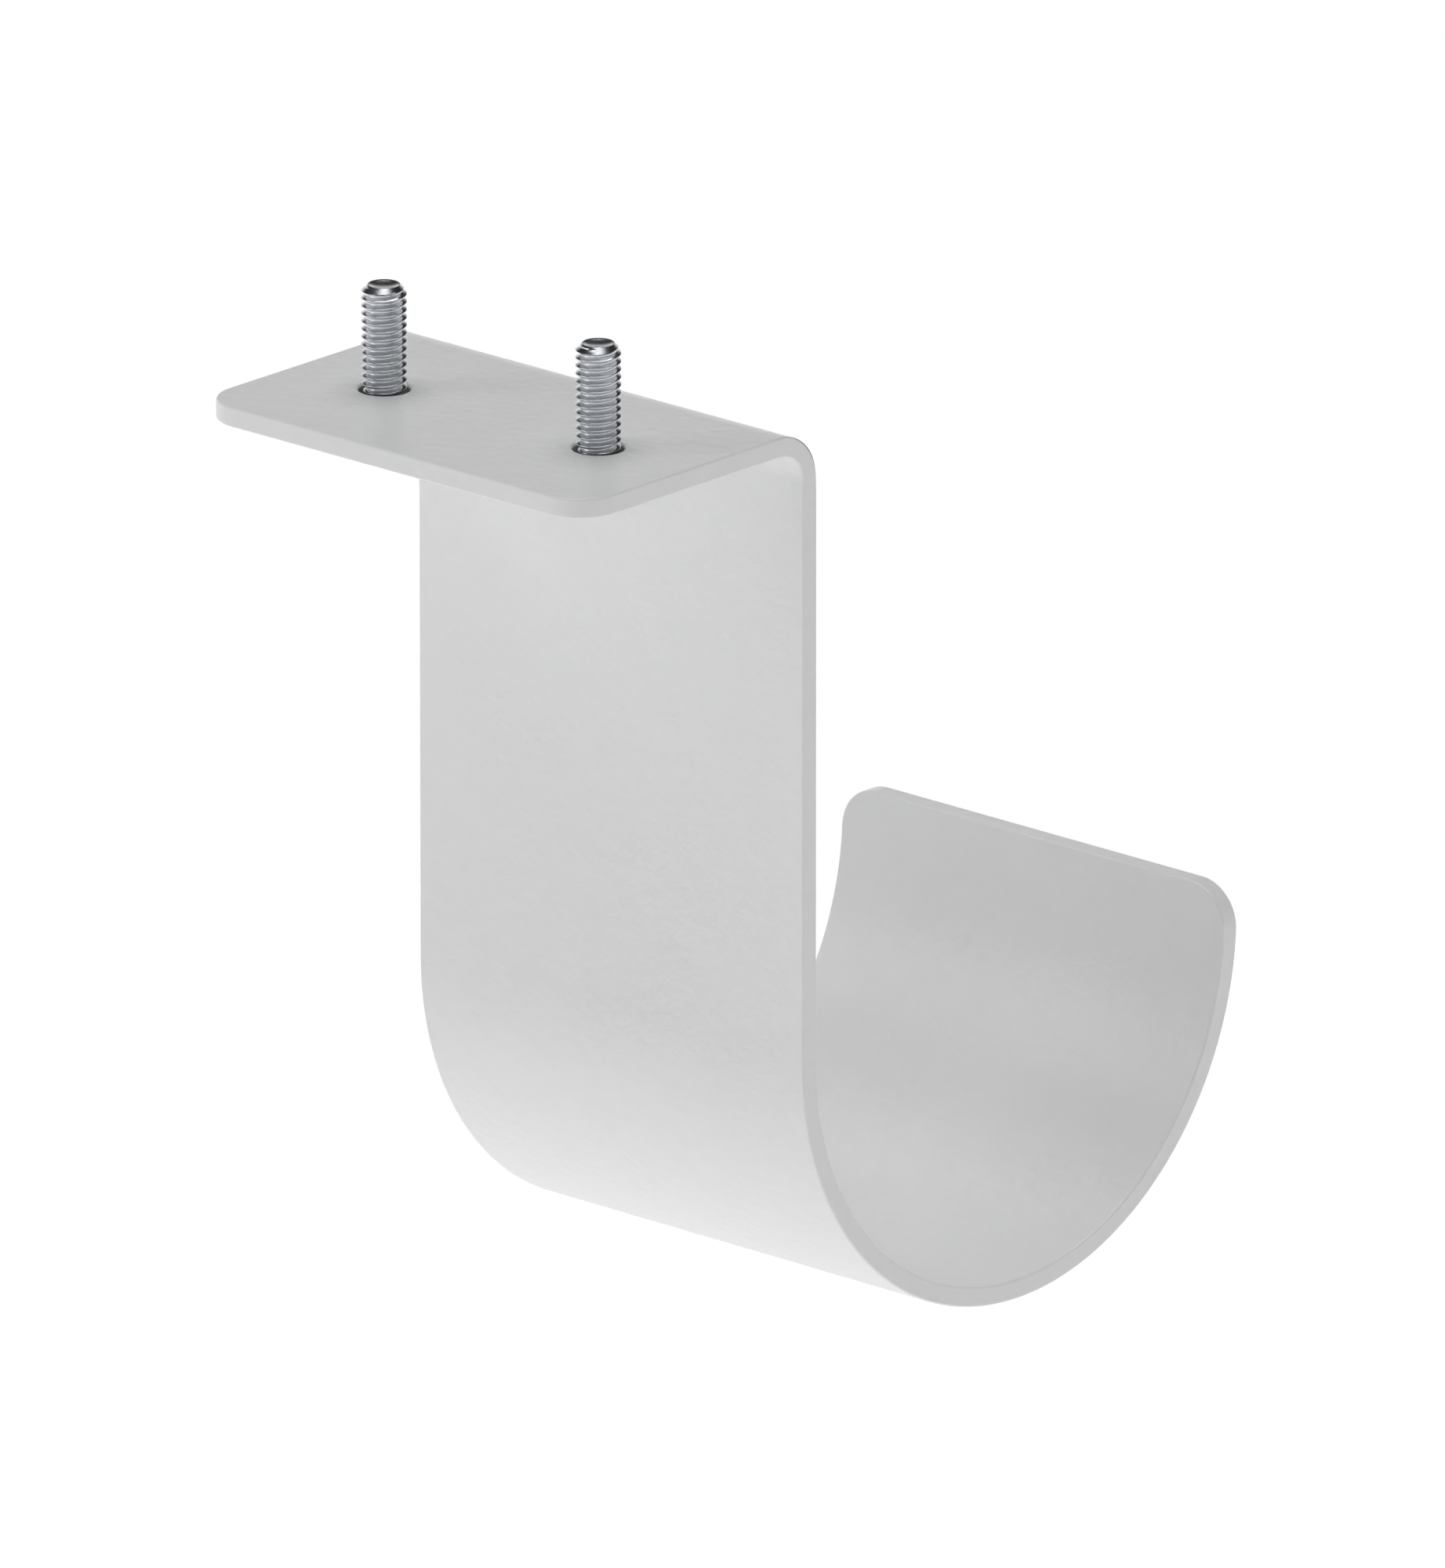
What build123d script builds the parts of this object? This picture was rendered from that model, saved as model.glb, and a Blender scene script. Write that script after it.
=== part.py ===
from build123d import *
import os

# Under-desk headphone hook: one flat steel strap bent into a screw flange,
# a straight hanging leg and a half-round cradle, held up by two pan-head
# machine screws on flat washers. Millimetres, +Z up.
# Origin: in the mounting face (top of the flange), midway between the screws.
# +X runs across the strap, +Y from the leg towards the cradle and its lip.

# ---- driving dimensions -----------------------------------------------------
strap_width = 45.0          # across X
strap_thickness = 1.8       # 1.6 mm sheet with its powder coat
flange_length = 30.0        # free end of the flange to the back of the leg
flange_bend_radius = 3.0    # inside radius of the bend under the flange
overall_drop = 86.1         # mounting face to the lowest point of the cradle
cradle_outer_radius = 28.4  # outside radius of the half-round cradle
lip_straight = 2.5          # straight run above the half round, at the lip
corner_radius = 4.0         # plan radius of the lip's and the flange's corners
edge_break = 0.2            # softened sheet edges

screw_inset = 13.0          # free end of the flange to the line of the screws
screw_spacing = 25.0        # between the two screws
hole_diameter = 4.5         # clearance hole for M4

washer_outer_diameter = 9.0
washer_inner_diameter = 4.3
washer_thickness = 0.8

screw_length = 12.0         # under the head
screw_neck_radius = 1.75    # plain neck inside the flange
screw_thread_radius = 2.0   # M4, over the crests
screw_point_chamfer = 0.6
screw_head_radius = 4.0
screw_head_height = 3.1
screw_head_side = 1.1       # height of the head's straight side
recess_reach = 4.2          # cross recess, over two opposite wings
recess_wing = 1.0           # width of a wing
recess_depth = 2.0

# ---- derived ---------------------------------------------------------------
half_width = strap_width / 2
free_end_y = -screw_inset
leg_back_y = flange_length - screw_inset
leg_front_y = leg_back_y - strap_thickness
bend_outer_radius = flange_bend_radius + strap_thickness
bend_y = leg_back_y - bend_outer_radius
cradle_y = leg_front_y + cradle_outer_radius
cradle_z = cradle_outer_radius - overall_drop
cradle_inner_radius = cradle_outer_radius - strap_thickness
lip_inner_y = cradle_y + cradle_inner_radius
lip_outer_y = cradle_y + cradle_outer_radius
lip_top_z = cradle_z + lip_straight
washer_bottom_z = -strap_thickness - washer_thickness
screw_tip_z = washer_bottom_z + screw_length

os.makedirs("parts", exist_ok=True)

# ---- hook strap ------------------------------------------------------------
with BuildPart() as hook_strap:
    # side profile, drawn in the YZ plane and given the strap's width
    with BuildSketch(Plane.YZ) as side_profile:
        with BuildLine():
            Line((free_end_y, 0), (bend_y, 0))
            CenterArc((bend_y, -bend_outer_radius), bend_outer_radius, 90, -90)
            Line((leg_back_y, -bend_outer_radius), (leg_back_y, cradle_z))
            CenterArc((cradle_y, cradle_z), cradle_inner_radius, 180, 180)
            Line((lip_inner_y, cradle_z), (lip_inner_y, lip_top_z))
            Line((lip_inner_y, lip_top_z), (lip_outer_y, lip_top_z))
            Line((lip_outer_y, lip_top_z), (lip_outer_y, cradle_z))
            CenterArc((cradle_y, cradle_z), cradle_outer_radius, 0, -180)
            Line((leg_front_y, cradle_z), (leg_front_y, -bend_outer_radius))
            CenterArc((bend_y, -bend_outer_radius), flange_bend_radius, 0, 90)
            Line((bend_y, -strap_thickness), (free_end_y, -strap_thickness))
            Line((free_end_y, -strap_thickness), (free_end_y, 0))
        make_face()
    extrude(amount=half_width, both=True)

    # rounded corners of the lip
    with BuildSketch(Plane.XZ.offset(-(lip_outer_y + 5))) as lip_corners:
        for side in (-1, 1):
            with Locations((side * half_width, lip_top_z)):
                Rectangle(2 * corner_radius, 2 * corner_radius)
            with Locations((side * (half_width - corner_radius), lip_top_z - corner_radius)):
                Circle(corner_radius, mode=Mode.SUBTRACT)
            with Locations((side * (half_width - 2 * corner_radius), lip_top_z - corner_radius)):
                Rectangle(2 * corner_radius, 4 * corner_radius, mode=Mode.SUBTRACT)
    extrude(amount=20, mode=Mode.SUBTRACT)

    # rounded corners at the free end of the flange
    free_end_corners = (
        hook_strap.edges().filter_by(Axis.Z).group_by(Axis.Y)[0]
    )
    fillet(free_end_corners, radius=corner_radius)

    # softened edges all round the sheet: every edge where the rim (the cut
    # outline of the sheet) meets one of its two skins
    rim = (
        hook_strap.faces().filter_by(Axis.X)
        + hook_strap.faces().filter_by(Axis.Y).sort_by(Axis.Y)[:1]
        + hook_strap.faces().filter_by(
            lambda f: abs(f.center().Z - lip_top_z) < 1e-3 and f.center().Y > cradle_y
        )
        + hook_strap.faces()
        .filter_by(GeomType.CYLINDER)
        .filter_by(lambda f: abs(f.radius - corner_radius) < 1e-3)
    )
    skin_edges = [e for f in hook_strap.faces() if f not in rim for e in f.edges()]
    fillet([e for e in rim.edges() if e in skin_edges], radius=edge_break)

    # clearance holes for the screws
    with GridLocations(screw_spacing, 0, 2, 1):
        Hole(radius=hole_diameter / 2)

hook_strap.part.label = "hook_strap"
export_step(hook_strap.part, "parts/hook_strap.step")

# ---- flat washers, under the flange ------------------------------------------
with BuildPart() as flat_washers:
    with BuildSketch(Plane.XY.offset(washer_bottom_z)) as washer_rings:
        with GridLocations(screw_spacing, 0, 2, 1):
            Circle(washer_outer_diameter / 2)
            Circle(washer_inner_diameter / 2, mode=Mode.SUBTRACT)
    extrude(amount=washer_thickness)

flat_washers.part.label = "flat_washers"
export_step(flat_washers.part, "parts/flat_washers.step")

# ---- pan-head machine screws, driven up from below ---------------------------
with BuildPart() as one_screw:
    # half section, revolved about the screw's own axis
    head_bottom_z = washer_bottom_z - screw_head_height
    side_bottom_z = washer_bottom_z - screw_head_side
    with BuildSketch(Plane.XZ) as half_section:
        with BuildLine():
            Line((0, screw_tip_z), (screw_thread_radius - screw_point_chamfer, screw_tip_z))
            Line(
                (screw_thread_radius - screw_point_chamfer, screw_tip_z),
                (screw_thread_radius, screw_tip_z - screw_point_chamfer),
            )
            Line((screw_thread_radius, screw_tip_z - screw_point_chamfer), (screw_thread_radius, 0))
            Line((screw_thread_radius, 0), (screw_neck_radius, 0))
            Line((screw_neck_radius, 0), (screw_neck_radius, washer_bottom_z))
            Line((screw_neck_radius, washer_bottom_z), (screw_head_radius, washer_bottom_z))
            Line((screw_head_radius, washer_bottom_z), (screw_head_radius, side_bottom_z))
            TangentArc(
                (0, head_bottom_z), (screw_head_radius, side_bottom_z), tangent=(1, 0)
            )
            Line((0, head_bottom_z), (0, screw_tip_z))
        make_face()
    revolve(axis=Axis.Z)

    # cross recess, tapering inwards
    with BuildSketch(Plane.XY.offset(head_bottom_z - 0.01)) as recess_mouth:
        Rectangle(recess_reach, recess_wing)
        Rectangle(recess_wing, recess_reach)
    extrude(amount=recess_depth, taper=9, mode=Mode.SUBTRACT)

with BuildPart() as mounting_screws:
    with GridLocations(screw_spacing, 0, 2, 1):
        add(one_screw.part)

mounting_screws.part.label = "mounting_screws"
export_step(mounting_screws.part, "parts/mounting_screws.step")
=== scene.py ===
import math

import bmesh
import bpy
import numpy as np
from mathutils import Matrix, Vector


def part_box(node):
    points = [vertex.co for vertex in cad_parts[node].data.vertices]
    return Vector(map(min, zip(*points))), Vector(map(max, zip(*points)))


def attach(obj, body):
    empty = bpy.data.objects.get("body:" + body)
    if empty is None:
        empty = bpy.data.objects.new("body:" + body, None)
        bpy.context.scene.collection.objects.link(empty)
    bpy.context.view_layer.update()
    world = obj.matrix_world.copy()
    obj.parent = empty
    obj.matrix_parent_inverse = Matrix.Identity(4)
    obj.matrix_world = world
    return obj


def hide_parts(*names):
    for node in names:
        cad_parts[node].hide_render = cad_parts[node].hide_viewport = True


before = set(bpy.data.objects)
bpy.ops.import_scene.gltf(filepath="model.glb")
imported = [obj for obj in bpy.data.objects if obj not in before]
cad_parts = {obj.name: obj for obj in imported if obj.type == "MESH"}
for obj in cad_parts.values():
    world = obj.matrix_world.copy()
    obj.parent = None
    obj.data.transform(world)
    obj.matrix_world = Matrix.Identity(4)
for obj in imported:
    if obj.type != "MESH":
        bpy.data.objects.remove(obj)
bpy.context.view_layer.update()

MM = 0.001
HORIZON, ZENITH = 1.0, 0.02       # the studio's brightness at eye level and overhead
KEY, TOP, FLOOR = 7.6, 1.9, 0.345   # the key's power, the overhead light's strength and the lit floor's own glow

# ---------------------------------------------------------------- the frame's sizes
strap_lo, strap_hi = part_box("hook_strap")
screw_lo, screw_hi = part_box("mounting_screws")
wash_lo, wash_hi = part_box("flat_washers")

W = (strap_hi.x - strap_lo.x) / MM          # strap width
FREE_Y = strap_lo.y / MM                    # free end of the flange
LIP_Y = strap_hi.y / MM                     # outside of the lip
LOW_Z = strap_lo.z / MM                     # lowest point of the cradle
TIP_Z = screw_hi.z / MM                     # tips of the screws
T = 1.8                                     # sheet with its coat
R_OUT = 28.4                                # outside of the half round
R_BEND = 3.0                                # inside of the flange's bend
R_CORNER = 4.0                              # plan corners
R_EDGE = 0.2                                # softened sheet edge
LIP_STRAIGHT = 2.5
HOLE_R = 2.25
SCREW_X = 12.5

LEG_FRONT = LIP_Y - 2 * R_OUT
LEG_BACK = LEG_FRONT + T
CRADLE_Y = LEG_FRONT + R_OUT
CRADLE_Z = LOW_Z + R_OUT
BEND_Y = LEG_BACK - R_BEND - T
BEND_Z = -R_BEND - T


# ---------------------------------------------------------------- mesh helpers
def make_mesh(name, verts, faces, normals=None, sharp=None, recalc=True, weld=0.0):
    """A mesh object from points in millimetres. normals: one exact normal per point. sharp: angle in degrees over which an edge shades sharp. weld: joins points nearer than this."""
    me = bpy.data.meshes.new(name)
    me.from_pydata([tuple(MM * c for c in v) for v in verts], [], [tuple(dict.fromkeys(f)) for f in faces])
    if recalc:
        bm = bmesh.new()
        bm.from_mesh(me)
        if weld:
            bmesh.ops.remove_doubles(bm, verts=bm.verts, dist=weld * MM)
        bmesh.ops.recalc_face_normals(bm, faces=bm.faces)
        bm.to_mesh(me)
        bm.free()
    me.validate()
    me.polygons.foreach_set("use_smooth", [True] * len(me.polygons))
    if sharp is not None:
        me.set_sharp_from_angle(angle=math.radians(sharp))
    me.update()
    if normals is not None:
        me.normals_split_custom_set_from_vertices([tuple(n) for n in normals])
    ob = bpy.data.objects.new(name, me)
    bpy.context.scene.collection.objects.link(ob)
    return ob


def point_attribute(ob, name, values):
    at = ob.data.attributes.new(name, "FLOAT", "POINT")
    at.data.foreach_set("value", np.asarray(values, np.float32))


# ---------------------------------------------------------------- the strap
# The strap is a flat pattern (u along it, v across it) wrapped along the line of
# its mid surface. SEGMENTS: length, centre, radius and start angle of each arc.
R_MID_BEND = R_BEND + T / 2
R_MID_U = R_OUT - T / 2
L_FLANGE = BEND_Y - FREE_Y
L_BEND = R_MID_BEND * math.pi / 2
L_LEG = BEND_Z - CRADLE_Z
L_U = R_MID_U * math.pi
L_ALL = L_FLANGE + L_BEND + L_LEG + L_U + LIP_STRAIGHT


def path(u):
    """(y, z) of the mid surface and its tangent (ty, tz) at developed length u."""
    if u <= L_FLANGE:
        return (FREE_Y + u, -T / 2), (1.0, 0.0)
    u -= L_FLANGE
    if u <= L_BEND:
        a = math.pi / 2 - u / R_MID_BEND
        return (BEND_Y + R_MID_BEND * math.cos(a), BEND_Z + R_MID_BEND * math.sin(a)), (math.sin(a), -math.cos(a))
    u -= L_BEND
    if u <= L_LEG:
        return (LEG_FRONT + T / 2, BEND_Z - u), (0.0, -1.0)
    u -= L_LEG
    if u <= L_U:
        a = math.pi + u / R_MID_U
        return (CRADLE_Y + R_MID_U * math.cos(a), CRADLE_Z + R_MID_U * math.sin(a)), (-math.sin(a), math.cos(a))
    u -= L_U
    return (LIP_Y - T / 2, CRADLE_Z + u), (0.0, 1.0)


def on_strap(u, v, h):
    """The point at (u, v) of the pattern, h above the mid surface (the side of the mounting face)."""
    (y, z), (ty, tz) = path(u)
    return (v, y - tz * h, z + ty * h)


def strap_direction(u, du, dv, dh):
    """The direction that runs (du, dv, dh) in the pattern's own axes at u."""
    _, (ty, tz) = path(u)
    return Vector((dv, du * ty - dh * tz, du * tz + dh * ty)).normalized()


def bend_bulge(u, h):
    """A tight bend squeezes the sheet's inner side outwards at its two edges and draws the outer side in."""
    s = (u - L_FLANGE) / L_BEND
    if s < -0.35 or s > 1.35:
        return 0.0
    f = math.sin(math.pi * (s + 0.35) / 1.7) ** 2
    return -0.085 * f * h / (T / 2)


def lines(a, b, n, ends=True):
    pts = [a + (b - a) * i / n for i in range(n + 1)]
    return pts if ends else pts[1:]


HOLE_U = -FREE_Y                     # the screws' line is at Y = 0
PATCH = 4.0                          # half side of the square patch round a hole
N_PATCH = 12
side_u = lines(R_CORNER, HOLE_U - PATCH, 5)
side_u += lines(HOLE_U - PATCH, HOLE_U + PATCH, N_PATCH, False)
side_u += lines(HOLE_U + PATCH, L_FLANGE, 6, False)
side_u += lines(L_FLANGE, L_FLANGE + L_BEND, 26, False)
side_u += lines(L_FLANGE + L_BEND, L_FLANGE + L_BEND + L_LEG, 30, False)
side_u += lines(L_FLANGE + L_BEND + L_LEG, L_ALL - R_CORNER, 118, False)
N_CORNER = 14

A_IN = W / 2 - R_EDGE
half_v = [0.0, 2.8, 5.6, SCREW_X - PATCH]
half_v += lines(SCREW_X - PATCH, SCREW_X + PATCH, N_PATCH, False)
half_v += [18.2, 19.8, 21.1, A_IN]
cols = [-x for x in reversed(half_v[1:])] + half_v
M = len(cols) - 1


def stations(d):
    """The right-hand outline of the pattern, offset inwards by d: (u, v, outward direction)."""
    out = []
    for i in range(N_CORNER + 1):
        a = math.pi / 2 * i / N_CORNER
        out.append((R_CORNER - (R_CORNER - d) * math.cos(a), W / 2 - R_CORNER + (R_CORNER - d) * math.sin(a), (-math.cos(a), math.sin(a))))
    for u in side_u[1:-1]:
        out.append((u, W / 2 - d, (0.0, 1.0)))
    for i in range(N_CORNER, -1, -1):
        a = math.pi / 2 * i / N_CORNER
        out.append((L_ALL - R_CORNER + (R_CORNER - d) * math.cos(a), W / 2 - R_CORNER + (R_CORNER - d) * math.sin(a), (math.cos(a), math.sin(a))))
    return out


class Surface:
    """Points with their exact normals and a measure used by the paint: how near the sheet's edge."""

    def __init__(self):
        self.v, self.n, self.f = [], [], []
        self.edge = []

    def add(self, p, n, edge=0.0):
        self.v.append(p)
        self.n.append(n)
        self.edge.append(edge)
        return len(self.v) - 1

    def bridge(self, a, b, closed=True):
        k = len(a)
        for i in range(k if closed else k - 1):
            j = (i + 1) % k
            self.f.append((a[i], a[j], b[j], b[i]))


S = Surface()
N_ROUND = 6


def outline_ring(d, h, phi, side):
    """One closed ring of the sheet's rim. phi is the rounding's angle: 0 at the cut face, 90 on the skin; side is +1 on the mounting-face skin and -1 on the other."""
    st = stations(d)
    ring = []
    ca, sa = math.cos(phi), math.sin(phi) * side
    near = 1.0 - math.sin(phi) ** 2 * 0.9

    def put(u, v, o):
        b = bend_bulge(u, h)
        n = strap_direction(u, o[0] * ca, o[1] * ca, sa)
        vv = v + (b if v > 0 else -b) if abs(o[1]) > 0.5 else v
        return S.add(on_strap(u, vv, h), n, near)

    for u, v, o in st:
        ring.append(put(u, v, o))
    scale = (W / 2 - R_CORNER) / A_IN
    for j in range(M - 1, 0, -1):
        ring.append(put(L_ALL - d, cols[j] * scale, (1.0, 0.0)))
    for u, v, o in reversed(st):
        ring.append(put(u, -v, (o[0], -o[1])))
    for j in range(1, M):
        ring.append(put(d, cols[j] * scale, (-1.0, 0.0)))
    return ring


def skin(side):
    """One whole skin of the sheet with its rounding. Returns the ring at the cut face and the rings of the holes."""
    h = side * T / 2
    inner = stations(R_EDGE)
    rows = len(inner)
    u_in = [s[0] for s in inner]
    v_in = [s[1] for s in inner]
    in_patch = {}
    i_lo = next(i for i, u in enumerate(u_in) if abs(u - (HOLE_U - PATCH)) < 1e-6)
    i_hi = next(i for i, u in enumerate(u_in) if abs(u - (HOLE_U + PATCH)) < 1e-6)
    holes = []
    for sx in (-1, 1):
        j_lo = next(j for j, v in enumerate(cols) if abs(v - (sx * SCREW_X - PATCH)) < 1e-6)
        j_hi = next(j for j, v in enumerate(cols) if abs(v - (sx * SCREW_X + PATCH)) < 1e-6)
        holes.append((sx * SCREW_X, j_lo, j_hi))
        for i in range(i_lo + 1, i_hi):
            for j in range(j_lo + 1, j_hi):
                in_patch[i, j] = True
    grid = {}
    for i in range(rows):
        up = strap_direction(u_in[i], 0, 0, side)
        for j in range(M + 1):
            if (i, j) in in_patch:
                continue
            v = cols[j] * v_in[i] / A_IN
            b = bend_bulge(u_in[i], h) * (abs(v) / (W / 2)) ** 6
            rim = i in (0, rows - 1) or j in (0, M)
            grid[i, j] = S.add(on_strap(u_in[i], v + math.copysign(b, v) if v else v, h), up, 0.1 if rim else 0.0)
    for i in range(rows - 1):
        for j in range(M):
            q = [(i, j), (i + 1, j), (i + 1, j + 1), (i, j + 1)]
            if all(k in grid for k in q):
                cut = i_lo <= i < i_hi and any(a <= j < b for _, a, b in holes)
                if not cut:
                    S.f.append(tuple(grid[k] for k in q))
    # rings of the rounding, from the skin out to the cut face
    loop = [grid[i, M] for i in range(rows)]
    loop += [grid[rows - 1, j] for j in range(M - 1, 0, -1)]
    loop += [grid[i, 0] for i in range(rows - 1, -1, -1)]
    loop += [grid[0, j] for j in range(1, M)]
    last = loop
    for k in range(1, N_ROUND + 1):
        phi = math.pi / 2 * (1 - k / N_ROUND)
        ring = outline_ring(R_EDGE * (1 - math.cos(phi)), side * (T / 2 - R_EDGE + R_EDGE * math.sin(phi)), phi, side)
        S.bridge(last, ring)
        last = ring
    # the holes' rings: square patch, then circles, then the softened mouth
    hole_rings = []
    r_mouth = 0.3
    for hx, j_lo, j_hi in holes:
        sq = [grid[i_lo, j] for j in range(j_lo, j_hi)]
        sq += [grid[i, j_hi] for i in range(i_lo, i_hi)]
        sq += [grid[i_hi, j] for j in range(j_hi, j_lo, -1)]
        sq += [grid[i, j_lo] for i in range(i_hi, i_lo, -1)]
        n = len(sq)
        prev = sq
        up = strap_direction(HOLE_U, 0, 0, side)
        for r, mix in ((3.25, 0.55), (2.85, 1.0), (HOLE_R + r_mouth, 1.0)):
            ring = []
            for k in range(n):
                a = -math.pi * 3 / 4 + 2 * math.pi * k / n
                q = max(abs(math.cos(a)), abs(math.sin(a)))
                rr = r * (mix + (1 - mix) / q)
                ring.append(S.add(on_strap(HOLE_U + rr * math.sin(a), hx + rr * math.cos(a), h), up, 0.0))
            S.bridge(prev, ring)
            prev = ring
        for k2 in range(1, 5):
            phi = math.pi / 2 * (1 - k2 / 4)
            rr = HOLE_R + r_mouth * (1 - math.cos(phi))
            hh = side * (T / 2 - r_mouth + r_mouth * math.sin(phi))
            ring = []
            for k in range(n):
                a = -math.pi * 3 / 4 + 2 * math.pi * k / n
                nn = strap_direction(HOLE_U, -math.sin(a) * math.cos(phi), -math.cos(a) * math.cos(phi), side * math.sin(phi))
                ring.append(S.add(on_strap(HOLE_U + rr * math.sin(a), hx + rr * math.cos(a), hh), nn, 0.7))
            S.bridge(prev, ring)
            prev = ring
        hole_rings.append(prev)
    return last, hole_rings


rim_a, holes_a = skin(+1)
rim_b, holes_b = skin(-1)
# the cut face, in four bands
prev = rim_a
for k in range(1, 4):
    h = (T / 2 - R_EDGE) * (1 - 2 * k / 4)
    ring = outline_ring(0.0, h, 0.0, 1)
    S.bridge(prev, ring)
    prev = ring
S.bridge(prev, rim_b)
for a, b in zip(holes_a, holes_b):
    S.bridge(a, b)

strap = make_mesh("hook_strap_sheet", S.v, S.f, normals=S.n)
point_attribute(strap, "edge", S.edge)


# ---------------------------------------------------------------- the screws
PITCH = 0.7
HEAD_R, HEAD_H, HEAD_SIDE = 4.0, 3.1, 1.1
SEAT_Z = TIP_Z - 12.0                # underside of the head's bearing face
NECK_R, CREST_R, ROOT_R = 1.75, 1.988, 1.555
N_A = 96


def cross_ring(reach, wing, fillet):
    """N_A points of a cross outline, set out by arc length so that its ends and inner corners are round."""
    quarter = []
    n_q = N_A // 4
    # from the middle of the wing on +X to the middle of the wing on +Y, as a polyline with rounded corners
    r_end = min(wing * 0.75, 0.32)
    pts = []
    pts.append((reach, 0.0))
    for k in range(7):
        a = math.pi / 2 * k / 6
        pts.append((reach - r_end + r_end * math.cos(a), wing - r_end + r_end * math.sin(a)))
    for k in range(7):
        a = math.pi / 2 * k / 6
        pts.append((wing + fillet - fillet * math.sin(a), wing + fillet - fillet * math.cos(a)))
    for k in range(7):
        a = math.pi / 2 * k / 6
        pts.append((wing - r_end + r_end * math.cos(a), reach - r_end + r_end * math.sin(a)))
    pts.append((0.0, reach))
    seg = [0.0]
    for p, q in zip(pts, pts[1:]):
        seg.append(seg[-1] + math.hypot(q[0] - p[0], q[1] - p[1]))
    # stops that put points on the corners
    for k in range(n_q):
        s = seg[-1] * k / n_q
        i = max(j for j in range(len(seg)) if seg[j] <= s + 1e-12)
        i = min(i, len(seg) - 2)
        f = (s - seg[i]) / max(seg[i + 1] - seg[i], 1e-9)
        quarter.append((pts[i][0] + f * (pts[i + 1][0] - pts[i][0]), pts[i][1] + f * (pts[i + 1][1] - pts[i][1])))
    out = []
    for q in range(4):
        c, s = [(1, 0), (0, 1), (-1, 0), (0, -1)][q]
        out += [(x * c - y * s, x * s + y * c) for x, y in quarter]
    return out


def dome_z(r):
    """Height of the head's crown below the bearing face, at radius r."""
    rad = (HEAD_R ** 2 + (HEAD_H - HEAD_SIDE) ** 2) / (2 * (HEAD_H - HEAD_SIDE))
    return -HEAD_H + rad - math.sqrt(max(rad * rad - r * r, 0))


# One pitch of a rolled 60 degree thread as (share of the pitch, radius): rounded crest, straight flanks, rounded root.
HALF_THREAD = [(0.0, CREST_R), (0.042, CREST_R - 0.003), (0.068, CREST_R - 0.017), (0.096, CREST_R - 0.050), (0.22, 1.768),
               (0.345, ROOT_R + 0.046), (0.378, ROOT_R + 0.017), (0.43, ROOT_R + 0.004)]
THREAD = HALF_THREAD + [(0.5, ROOT_R)] + [(1 - t, r) for t, r in reversed(HALF_THREAD[1:])]


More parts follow.
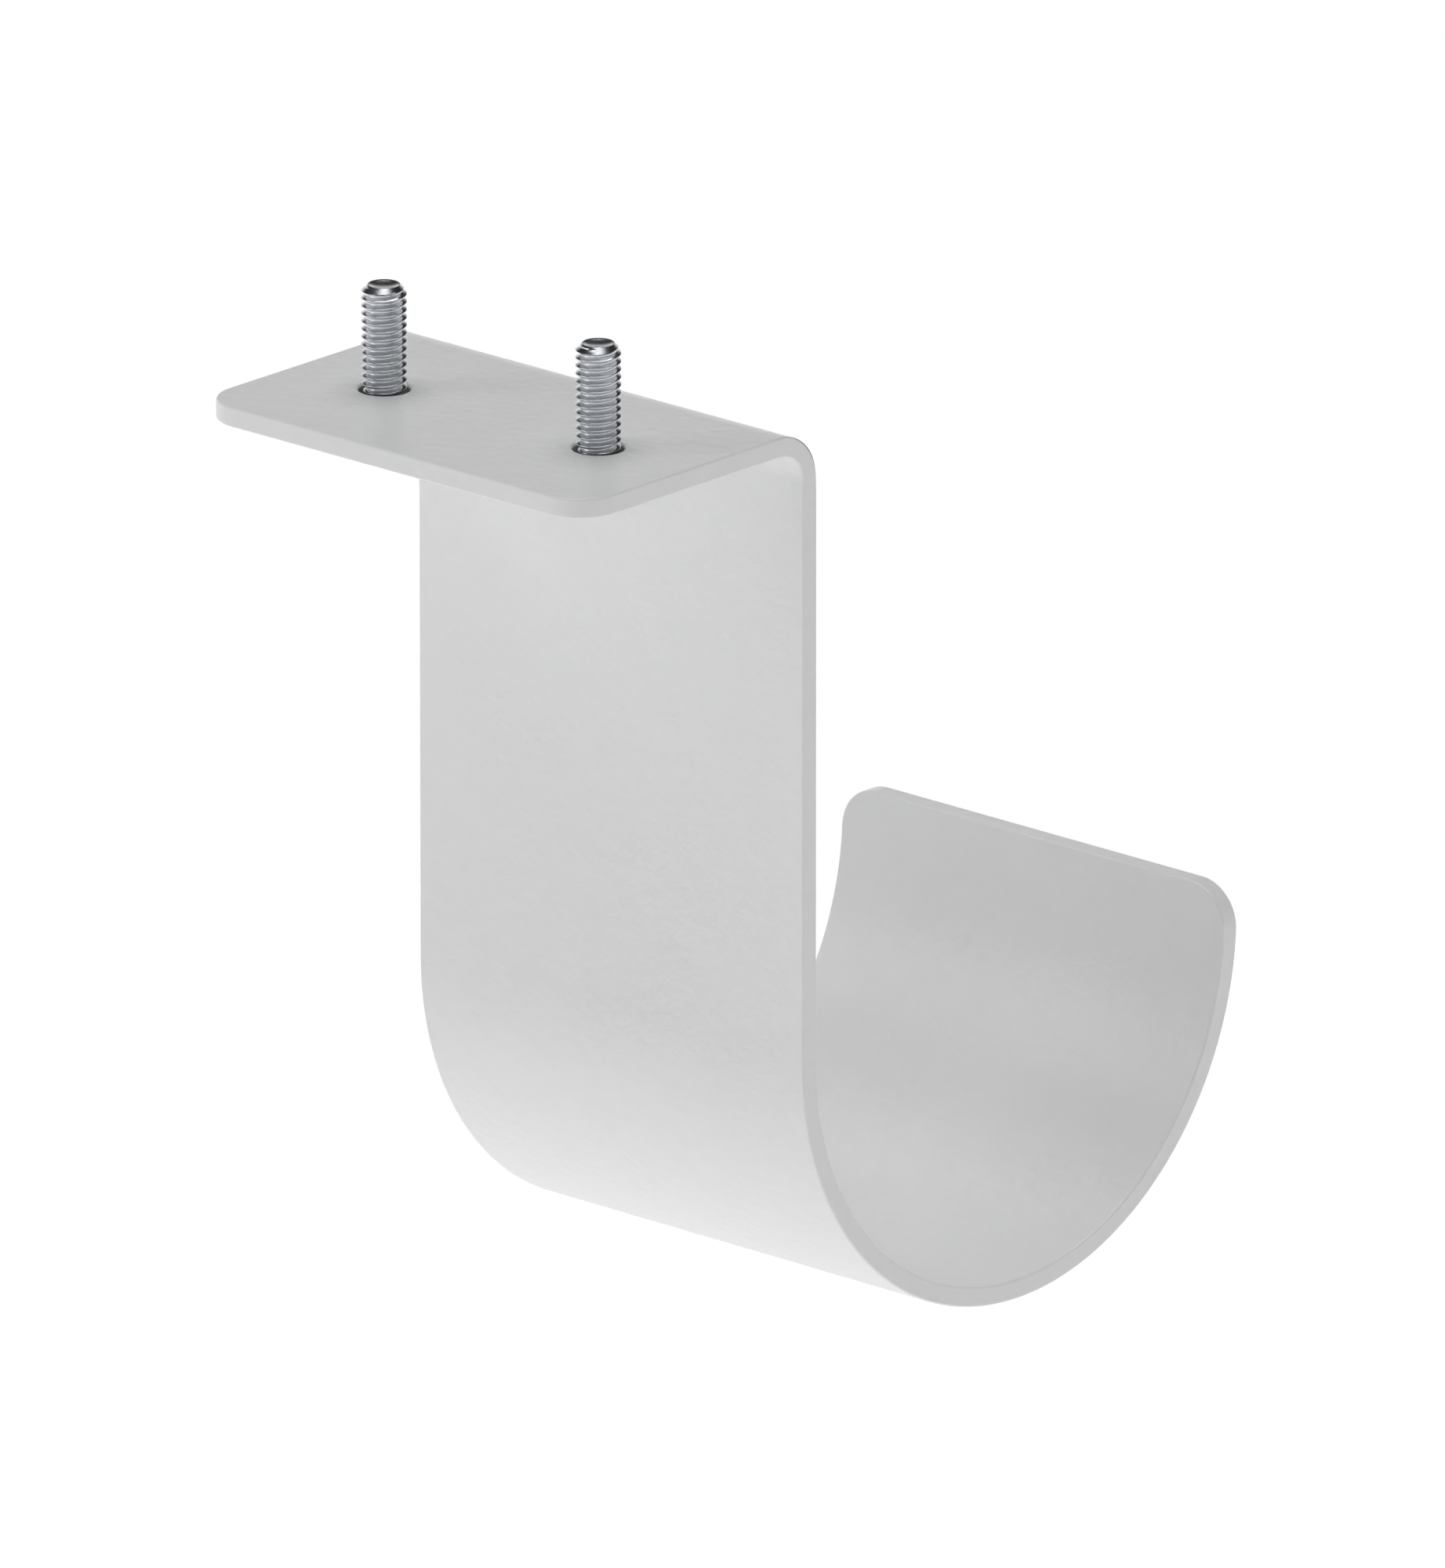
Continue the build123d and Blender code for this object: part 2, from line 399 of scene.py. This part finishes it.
def build_screw(name, x0, turn):
    """turn: how far the screw happened to stop, in radians."""
    V, F = [], []

    def ring(points):
        start = len(V)
        V.extend(points)
        return list(range(start, len(V)))

    def bridge(a, b):
        k = len(a)
        for i in range(k):
            j = (i + 1) % k
            F.append((a[i], a[j], b[j], b[i]))

    def rot(x, y):
        return x * math.cos(turn) - y * math.sin(turn), x * math.sin(turn) + y * math.cos(turn)

    def cross(reach, wing, fillet, z_of):
        pts = []
        for x, y in cross_ring(reach, wing, fillet):
            z = z_of(math.hypot(x, y))
            X, Y = rot(x, y)
            pts.append((x0 + X, Y, SEAT_Z + z))
        return ring(pts)

    mouth = cross_ring(2.2, 0.55, 0.30)
    angles = []
    for x, y in mouth:
        angles.append(math.atan2(y, x))

    def circle(r, z, mix=1.0, even=0.0):
        """A ring at the mouth's own angles, or evenly spaced for even = 1."""
        pts = []
        for i, a in enumerate(angles):
            b = 2 * math.pi * i / N_A
            d = (b - a + math.pi) % (2 * math.pi) - math.pi
            c = a + d * even
            X, Y = rot(r * math.cos(c), r * math.sin(c))
            pts.append((x0 + X, Y, SEAT_Z + z))
        return ring(pts)

    # the recess, from its floor to its mouth
    depth0 = 2.15
    rings, helix = [], []
    floor = cross(0.62, 0.20, 0.10, lambda r: -HEAD_H + depth0 - 0.05)
    centre = len(V)
    V.append((x0, 0.0, SEAT_Z - HEAD_H + depth0 + 0.12))
    for i in range(N_A):
        F.append((centre, floor[(i + 1) % N_A], floor[i]))
    rings.append(floor)
    for reach, wing, fil, dep in ((1.05, 0.34, 0.16, 1.95), (1.35, 0.40, 0.20, 1.45), (1.70, 0.455, 0.25, 0.85), (1.98, 0.50, 0.28, 0.35)):
        rings.append(cross(reach, wing, fil, lambda r, dep=dep: max(-HEAD_H + dep, dome_z(r) + 0.12)))
    # rolled lip of the mouth
    for reach, wing, fil, down in ((2.10, 0.52, 0.29, 0.06), (2.16, 0.545, 0.30, 0.02), (2.24, 0.58, 0.30, 0.0)):
        rings.append(cross(reach, wing, fil, lambda r, down=down: dome_z(r) + down))
    # out over the crown
    def mixed(t, r_out):
        pts = []
        for i, (x, y) in enumerate(cross_ring(2.24, 0.58, 0.30)):
            a = math.atan2(y, x)
            r0 = math.hypot(x, y)
            r = r0 + (r_out - r0) * t
            b = 2 * math.pi * i / N_A
            d = (b - a + math.pi) % (2 * math.pi) - math.pi
            c = a + d * t * 0.6
            X, Y = rot(r * math.cos(c), r * math.sin(c))
            pts.append((x0 + X, Y, SEAT_Z + dome_z(r)))
        return ring(pts)
    for t in (0.12, 0.3, 0.55, 0.8, 1.0):
        rings.append(mixed(t, 2.6))
    for r, e in ((2.85, 0.7), (3.1, 0.8), (3.35, 0.9), (3.55, 1.0)):
        rings.append(circle(r, dome_z(r), even=e))
    # rounded shoulder into the side
    rr = 0.45
    cz, cr = -HEAD_SIDE + 0.05, HEAD_R - rr
    for k in range(7):
        a = math.radians(-58 + 58 * k / 6)
        rings.append(circle(cr + rr * math.cos(a), cz + rr * math.sin(a) * 1.15, even=1))
    rings.append(circle(HEAD_R, -0.75, even=1))
    rings.append(circle(HEAD_R, -0.35, even=1))
    # softened bearing edge
    for k in range(5):
        a = math.pi / 2 * k / 4
        rings.append(circle(HEAD_R - 0.22 + 0.22 * math.cos(a), -0.22 + 0.22 * math.sin(a), even=1))
    for r in (3.2, 2.6, 2.15):
        rings.append(circle(r, 0.0, even=1))
    # fillet under the head, plain neck
    for k in range(1, 6):
        a = math.pi / 2 * k / 5
        rings.append(circle(NECK_R + 0.25 - 0.25 * math.sin(a), 0.25 - 0.25 * math.cos(a), even=1))
    for z in (0.6, 1.0, 1.5, 2.0):
        rings.append(circle(NECK_R, z, even=1))
    # the thread, from its run-out to the point. Its rows follow the helix, so that each crest is one clean line,
    # and they are cut off level at both ends
    z0, z1 = 2.0, TIP_Z - SEAT_Z
    turns = int(math.ceil((z1 - z0) / PITCH)) + 1
    for k in range(-1, turns):
        for share, r_row in THREAD:
            pts = []
            for i in range(N_A):
                a = 2 * math.pi * i / N_A
                z = z0 + PITCH * (k + share + i / N_A)
                z = min(max(z, z0), z1)
                # run-out: the thread rises out of the neck over a little more than one pitch
                f = min(max((z - z0) / (PITCH * 1.3), 0), 1)
                f = f * f * (3 - 2 * f)
                r = NECK_R + (r_row - NECK_R) * f
                # rolled point: a chamfer of about 45 degrees
                r = min(r, 1.40 + (z1 - z) * 1.02)
                if z == z0:
                    r = NECK_R
                if z == z1:
                    r = 1.40
                X, Y = rot(r * math.cos(a), r * math.sin(a))
                pts.append((x0 + X, Y, SEAT_Z + z))
            helix.append(ring(pts))
    # the tip: a shallow dish left by rolling
    tip = [circle(r, TIP_Z - SEAT_Z + dz, even=1) for r, dz in ((1.40, 0.0), (1.33, 0.0), (1.22, -0.03), (1.0, -0.10), (0.7, -0.16), (0.35, -0.19))]
    top = len(V)
    V.append((x0, 0.0, TIP_Z - 0.20))
    for run in (rings, tip):
        for a, b in zip(run, run[1:]):
            bridge(a, b)
    # one row of the helix joins the next; past a full turn it joins the row one pitch further on
    n_row = len(THREAD)
    for j in range(len(helix) - n_row):
        lo, hi = helix[j], helix[j + 1]
        for i in range(N_A - 1):
            F.append((lo[i], lo[i + 1], hi[i + 1], hi[i]))
        F.append((lo[N_A - 1], helix[j + n_row][0], helix[j + n_row + 1][0] if j + n_row + 1 < len(helix) else helix[j + n_row][0], hi[N_A - 1]))
    last = tip[-1]
    for i in range(N_A):
        F.append((top, last[i], last[(i + 1) % N_A]))
    ob = make_mesh(name, V, F, sharp=32, weld=0.0005)
    return ob


screws = [build_screw("screw_left", -SCREW_X, 0.42), build_screw("screw_right", SCREW_X, 1.13)]


# ---------------------------------------------------------------- the washers
def build_washer(name, x0, y_off, turn):
    V, F = [], []
    z_lo, z_hi = wash_lo.z / MM, wash_hi.z / MM
    r_i, r_o = 2.15, 4.5
    n = 96
    prof = []
    # die roll on the lower side, a crisper edge on the upper side
    for k in range(6):
        a = math.pi / 2 * k / 5
        prof.append((r_o - 0.26 + 0.26 * math.sin(a), z_lo + 0.16 - 0.16 * math.cos(a)))
    prof.append((r_o, z_lo + 0.38))
    for k in range(4):
        a = math.pi / 2 * k / 3
        prof.append((r_o - 0.07 + 0.07 * math.cos(a), z_hi - 0.07 + 0.07 * math.sin(a)))
    for r in (3.9, 3.3, 2.7):
        prof.append((r, z_hi))
    for k in range(4):
        a = math.pi / 2 * k / 3
        prof.append((r_i + 0.07 - 0.07 * math.sin(a), z_hi - 0.07 + 0.07 * math.cos(a)))
    prof.append((r_i, z_lo + 0.38))
    for k in range(6):
        a = math.pi / 2 * k / 5
        prof.append((r_i + 0.18 - 0.18 * math.cos(a), z_lo + 0.14 - 0.14 * math.sin(a)))
    for r in (2.7, 3.3, 3.9):
        prof.append((r, z_lo))
    rings = []
    for r, z in prof:
        start = len(V)
        for i in range(n):
            a = 2 * math.pi * i / n + turn
            V.append((x0 + r * math.cos(a), y_off + r * math.sin(a), z))
        rings.append(list(range(start, len(V))))
    for a, b in zip(rings, rings[1:] + rings[:1]):
        for i in range(n):
            j = (i + 1) % n
            F.append((a[i], a[j], b[j], b[i]))
    return make_mesh(name, V, F, sharp=40)


washers = [build_washer("washer_left", -SCREW_X, 0.0, 0.3), build_washer("washer_right", SCREW_X, 0.0, 1.9)]


# ---------------------------------------------------------------- materials
def new_material(name):
    m = bpy.data.materials.new(name)
    m.use_nodes = True
    nt = m.node_tree
    nt.nodes.clear()
    out = nt.nodes.new("ShaderNodeOutputMaterial")
    bsdf = nt.nodes.new("ShaderNodeBsdfPrincipled")
    nt.links.new(bsdf.outputs["BSDF"], out.inputs["Surface"])
    return m, nt, bsdf


def noise(nt, vec, scale, detail=2.0, rough=0.5, dist=0.0):
    n = nt.nodes.new("ShaderNodeTexNoise")
    n.noise_dimensions = "3D"
    n.inputs["Scale"].default_value = scale
    n.inputs["Detail"].default_value = detail
    n.inputs["Roughness"].default_value = rough
    n.inputs["Distortion"].default_value = dist
    nt.links.new(vec, n.inputs["Vector"])
    return n.outputs["Fac"]


def ramp(nt, fac, lo, hi, a=0.0, b=1.0, smooth=False):
    n = nt.nodes.new("ShaderNodeMapRange")
    n.interpolation_type = "SMOOTHSTEP" if smooth else "LINEAR"
    n.inputs["From Min"].default_value = lo
    n.inputs["From Max"].default_value = hi
    n.inputs["To Min"].default_value = a
    n.inputs["To Max"].default_value = b
    nt.links.new(fac, n.inputs["Value"])
    return n.outputs["Result"]


def math_node(nt, op, a, b=None):
    n = nt.nodes.new("ShaderNodeMath")
    n.operation = op
    for i, x in enumerate((a, b)):
        if x is None:
            continue
        if isinstance(x, (int, float)):
            n.inputs[i].default_value = x
        else:
            nt.links.new(x, n.inputs[i])
    return n.outputs[0]


def mix_colour(nt, fac, a, b):
    n = nt.nodes.new("ShaderNodeMix")
    n.data_type = "RGBA"
    n.blend_type = "MIX"
    nt.links.new(fac, n.inputs["Factor"])
    for key, x in (("A", a), ("B", b)):
        sock = [s for s in n.inputs if s.name == key and s.type == "RGBA"][0]
        if isinstance(x, tuple):
            sock.default_value = (*x, 1.0)
        else:
            nt.links.new(x, sock)
    return [s for s in n.outputs if s.type == "RGBA"][0]


def bump(nt, height, distance, normal=None, strength=1.0):
    n = nt.nodes.new("ShaderNodeBump")
    n.inputs["Strength"].default_value = strength
    n.inputs["Distance"].default_value = distance
    nt.links.new(height, n.inputs["Height"])
    if normal is not None:
        nt.links.new(normal, n.inputs["Normal"])
    return n.outputs["Normal"]


def coords(nt):
    return nt.nodes.new("ShaderNodeTexCoord").outputs["Object"]


def attribute(nt, name):
    n = nt.nodes.new("ShaderNodeAttribute")
    n.attribute_type = "GEOMETRY"
    n.attribute_name = name
    return n.outputs["Fac"]


def powder_coat():
    m, nt, b = new_material("powder_coat_light_grey")
    P = coords(nt)
    peel = noise(nt, P, 850.0, 1.0, 0.45)                # the coat's orange peel, a little over 1 mm
    grain = noise(nt, P, 2600.0, 2.0, 0.55)              # the powder's own fine grain, under 0.4 mm
    flow = noise(nt, P, 220.0, 2.0, 0.5)                 # slow unevenness of its thickness, about 5 mm
    blot = noise(nt, P, 45.0, 2.0, 0.5)
    edge = attribute(nt, "edge")
    # colour: nearly even light grey, mottled a very little
    tone = math_node(nt, "ADD", ramp(nt, flow, 0.3, 0.7, -0.6, 0.6), ramp(nt, peel, 0.3, 0.7, -0.4, 0.4))
    base = mix_colour(nt, ramp(nt, tone, -1.0, 1.0, 0.0, 1.0), (0.722, 0.729, 0.725), (0.742, 0.747, 0.743))
    base = mix_colour(nt, ramp(nt, blot, 0.35, 0.7, 0.0, 0.35), base, (0.722, 0.729, 0.727))
    nt.links.new(base, b.inputs["Base Color"])
    # gloss: satin, a trace glossier where the coat draws thin over the sheet's edges
    r = math_node(nt, "ADD", ramp(nt, grain, 0.25, 0.75, 0.30, 0.37), ramp(nt, flow, 0.3, 0.7, -0.01, 0.01))
    r = math_node(nt, "SUBTRACT", r, math_node(nt, "MULTIPLY", edge, 0.01))
    nt.links.new(r, b.inputs["Roughness"])
    n1 = bump(nt, flow, 0.00012, strength=0.6)
    n2 = bump(nt, peel, 0.00011, n1, 0.7)
    n3 = bump(nt, grain, 0.00003, n2, 0.7)
    nt.links.new(n3, b.inputs["Normal"])
    b.inputs["IOR"].default_value = 1.5
    return m


def zinc(name, colour_a, colour_b, rough_lo, rough_hi, rough_scratch):
    m, nt, b = new_material(name)
    P = coords(nt)
    mottle = noise(nt, P, 900.0, 3.0, 0.6)
    fine = noise(nt, P, 6000.0, 2.0, 0.6)
    scratch_map = nt.nodes.new("ShaderNodeMapping")
    scratch_map.inputs["Scale"].default_value = (1.0, 7.0, 3.0)
    scratch_map.inputs["Rotation"].default_value = (0.3, 0.5, 0.9)
    nt.links.new(P, scratch_map.inputs["Vector"])
    scratch = noise(nt, scratch_map.outputs["Vector"], 1500.0, 2.0, 0.7, 0.4)
    nt.links.new(mix_colour(nt, ramp(nt, mottle, 0.3, 0.7), colour_a, colour_b), b.inputs["Base Color"])
    b.inputs["Metallic"].default_value = 1.0
    r = math_node(nt, "ADD", ramp(nt, mottle, 0.25, 0.75, rough_lo, rough_hi), ramp(nt, scratch, 0.45, 0.75, 0.0, rough_scratch))
    nt.links.new(r, b.inputs["Roughness"])
    n1 = bump(nt, fine, 0.000002, strength=0.6)
    n2 = bump(nt, scratch, 0.000003, n1, 0.5)
    nt.links.new(n2, b.inputs["Normal"])
    return m


paint = powder_coat()
screw_metal = zinc("bright_zinc", (0.56, 0.58, 0.61), (0.66, 0.67, 0.69), 0.17, 0.24, 0.02)
washer_metal = zinc("dull_zinc", (0.47, 0.49, 0.52), (0.57, 0.58, 0.60), 0.34, 0.44, 0.08)

strap.data.materials.append(paint)
for o in screws:
    o.data.materials.append(screw_metal)
for o in washers:
    o.data.materials.append(washer_metal)

# the CAD nodes keep a finish too, for whoever shows them
for name, mat in (("hook_strap", paint), ("mounting_screws", screw_metal), ("flat_washers", washer_metal)):
    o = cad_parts[name]
    if not o.material_slots:
        o.data.materials.append(mat)
    for s in o.material_slots:
        s.material = mat

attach(strap, "root")
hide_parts("hook_strap")
for o in screws:
    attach(o, "root")
    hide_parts("mounting_screws")
for o in washers:
    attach(o, "root")
    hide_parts("flat_washers")


# ---------------------------------------------------------------- floor, light, camera
def build_floor():
    m, nt, b = new_material("studio_floor")
    P = coords(nt)
    f = noise(nt, P, 3.0, 2.0, 0.5)
    nt.links.new(mix_colour(nt, ramp(nt, f, 0.3, 0.7), (0.90, 0.90, 0.90), (0.92, 0.92, 0.92)), b.inputs["Base Color"])
    b.inputs["Roughness"].default_value = 0.9
    b.inputs["Emission Color"].default_value = (1.0, 1.0, 1.0, 1.0)
    b.inputs["Emission Strength"].default_value = FLOOR
    V, F = [(0.0, 0.0, 0.0)], []
    n, radii = 64, (200, 600, 2000, 6000, 16000, 40000)
    for r in radii:
        for i in range(n):
            a = 2 * math.pi * i / n
            V.append((r * math.cos(a), r * math.sin(a), 0.0))
    for i in range(n):
        F.append((0, 1 + i, 1 + (i + 1) % n))
    for k in range(len(radii) - 1):
        for i in range(n):
            j = (i + 1) % n
            a, c = 1 + k * n, 1 + (k + 1) * n
            F.append((a + i, c + i, c + j, a + j))
    ob = make_mesh("studio_floor", V, F, recalc=False)
    ob.location = (0, 0.03, -0.26)
    ob.data.materials.append(m)
    return ob


build_floor()

world = bpy.data.worlds.new("studio")
bpy.context.scene.world = world
world.use_nodes = True
wn = world.node_tree
wn.nodes.clear()
w_out = wn.nodes.new("ShaderNodeOutputWorld")
w_bg = wn.nodes.new("ShaderNodeBackground")
w_co = wn.nodes.new("ShaderNodeTexCoord")
w_xyz = wn.nodes.new("ShaderNodeSeparateXYZ")
wn.links.new(w_co.outputs["Generated"], w_xyz.inputs[0])
w_fall = ramp(wn, w_xyz.outputs["Z"], 0.06, 0.45, 0.0, 1.0, True)
w_level = ramp(wn, w_fall, 0.0, 1.0, HORIZON, ZENITH)
w_bg.inputs["Color"].default_value = (1.0, 1.0, 1.0, 1.0)
wn.links.new(w_level, w_bg.inputs["Strength"])
wn.links.new(w_bg.outputs[0], w_out.inputs[0])


def area(name, loc, target, size, power, colour=(1, 1, 1)):
    d = bpy.data.lights.new(name, "AREA")
    d.shape = "DISK"
    d.size = size
    d.energy = power
    d.color = colour
    o = bpy.data.objects.new(name, d)
    o.location = loc
    o.rotation_mode = "QUATERNION"
    o.rotation_quaternion = (Vector(target) - Vector(loc)).to_track_quat("-Z", "Y")
    bpy.context.scene.collection.objects.link(o)
    return o


centre = Vector((0.0, 0.03, -0.04))
area("key", (-1.4, -1.5, 0.9), centre, 1.2, KEY)
top_data = bpy.data.lights.new("top", "SUN")
top_data.energy = TOP
top_data.angle = math.radians(50)
top_light = bpy.data.objects.new("top", top_data)
top_light.rotation_mode = "QUATERNION"
top_light.rotation_quaternion = Vector((0.10, -0.12, -1.0)).to_track_quat("-Z", "Y")
bpy.context.scene.collection.objects.link(top_light)

# seen from the front left, a little above; a long lens, so that the hook fills the frame
a, e = math.radians(42.07), math.radians(18.26)
right = Vector((math.cos(a), math.sin(a), 0.0))
fwd = Vector((-math.sin(a) * math.cos(e), math.cos(a) * math.cos(e), -math.sin(e)))
up = Vector((-math.sin(a) * math.sin(e), math.cos(a) * math.sin(e), math.cos(e)))
offset = Vector((0.0, LEG_FRONT, -15.0))
eye = (offset + 14.156 * right - 22.655 * up - 3370.2 * fwd) * MM
cam_data = bpy.data.cameras.new("camera")
cam = bpy.data.objects.new("camera", cam_data)
bpy.context.scene.collection.objects.link(cam)
cam.location = eye
aim = Vector((0.0, 0.0297, -0.0405))
cam.rotation_mode = "QUATERNION"
cam.rotation_quaternion = (aim - eye).to_track_quat("-Z", "Y")
cam_data.sensor_width = 36.0
cam_data.lens = 11293.0 / 2000.0 * 36.0 * 4.4
cam_data.clip_start, cam_data.clip_end = 0.1, 60.0
bpy.context.scene.camera = cam

bpy.context.scene.view_settings.view_transform = "Standard"
bpy.context.scene.view_settings.look = "None"

bpy.context.view_layer.update()
